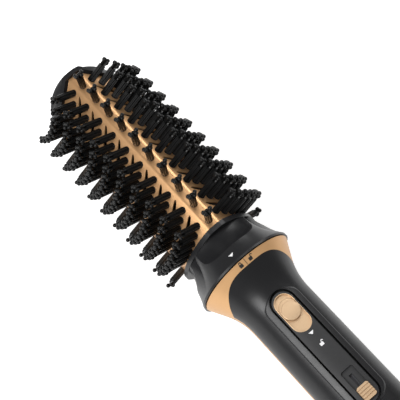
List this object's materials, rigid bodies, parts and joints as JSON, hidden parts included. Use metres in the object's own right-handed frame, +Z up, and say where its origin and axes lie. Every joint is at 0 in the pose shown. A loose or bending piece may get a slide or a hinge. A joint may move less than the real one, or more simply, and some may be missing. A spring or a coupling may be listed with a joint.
{
  "type": "hair multistyler",
  "caption": "Hot air hair brush: a rounded-triangle bristled barrel that twists and locks on a round handle with a slide release and a heat switch.",
  "frame": {"origin": "centre of the mouth of the cord gland at the handle's rear end", "axes": "+X along the device's axis to the brush tip, +Z up through the control panel and the top bristle strip"},
  "size_m": [0.3641, 0.0734, 0.0748],
  "materials": {
    "gold_coating": "satin gold coating",
    "gold_trim": "satin metallised gold",
    "gold_button": "circular brushed gold",
    "black_plastic": "soft satin black",
    "panel_plastic": "fine matt",
    "bristle_nylon": "satin strands",
    "inner_plastic": "moulded",
    "steel": "plain",
    "board": "solder mask",
    "mica": "mica sheet",
    "heating_wire": "resistance wire",
    "gland_rubber": "moulded"
  },
  "bodies": {
    "handle": {"front_cover": "black_plastic", "back_cover": "black_plastic", "trim_frame": "gold_trim", "cover_screws": "steel", "socket_ring": "inner_plastic", "control_panel": "panel_plastic", "release_track": "gold_trim", "latch_springs": "steel", "switch_body": "inner_plastic", "circuit_board": "board", "air_duct": "mica", "heater_frame": "mica", "heating_coil": "heating_wire", "thermostat": "steel", "ion_module": "inner_plastic", "fan_shroud": "inner_plastic", "motor": "steel", "rear_grille": "black_plastic", "filter_screen": "steel", "contact_block": "inner_plastic"},
    "head": {"barrel": "gold_coating", "barrel_core": "inner_plastic", "tip_cap": "black_plastic", "collar": "black_plastic", "coupling_spigot": "inner_plastic", "face_bristles_right": "bristle_nylon", "face_bristles_bottom": "bristle_nylon", "face_bristles_left": "bristle_nylon", "strip_bristles_top": "bristle_nylon", "strip_bristles_right": "bristle_nylon", "strip_bristles_left": "bristle_nylon"},
    "release": {"release_button": "gold_button", "release_latch": "inner_plastic"},
    "heat_switch": {"heat_switch": "gold_button"},
    "fan": {"fan": "inner_plastic", "motor_shaft": "steel"},
    "cord_gland": {"cord_gland": "gland_rubber"}
  },
  "joints": [
    {"name": "head_twist", "type": "hinge", "parent": "handle", "child": "head", "pos_m": [0.2, 0, 0], "axis": [1, 0, 0], "range_deg": [0, 13.5]},
    {"name": "release_slide", "type": "slide", "parent": "handle", "child": "release", "axis": [-1, 0, 0], "range_m": [0, 0.006], "stiffness_N_per_m": 400, "springref_m": -0.004, "deforming": ["latch_springs"]},
    {"name": "heat_switch_slide", "type": "slide", "parent": "handle", "child": "heat_switch", "axis": [1, 0, 0], "range_m": [0, 0.01]},
    {"name": "fan_spin", "type": "hinge", "parent": "handle", "child": "fan", "pos_m": [0.09, 0, 0], "axis": [1, 0, 0], "continuous": true},
    {"name": "cord_swivel", "type": "hinge", "parent": "handle", "child": "cord_gland", "pos_m": [0, 0, 0], "axis": [1, 0, 0], "continuous": true}
  ]
}
